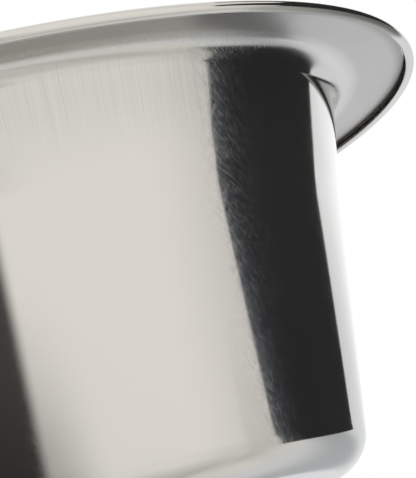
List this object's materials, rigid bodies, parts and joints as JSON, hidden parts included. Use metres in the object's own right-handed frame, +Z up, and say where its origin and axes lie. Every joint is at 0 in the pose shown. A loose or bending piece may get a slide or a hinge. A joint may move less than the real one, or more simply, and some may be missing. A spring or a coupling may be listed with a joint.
{
  "type": "dog bowl",
  "caption": "Round stainless steel dog bowl with tapered wall, wide flange, rolled hollow rim and a bonded rubber anti-skid ring under a stepped base.",
  "frame": {"origin": "centre of the plane that the bowl stands on, on the bowl's axis", "axes": "+Z up along the bowl's axis, from the base to the mouth; X and Y are free, because the bowl is round"},
  "size_m": [0.25, 0.25, 0.0874],
  "materials": {
    "stainless_steel": "polished",
    "black_rubber": "matte"
  },
  "bodies": {
    "root": {"bowl_shell": "stainless_steel", "anti_skid_ring": "black_rubber"}
  },
  "joints": []
}
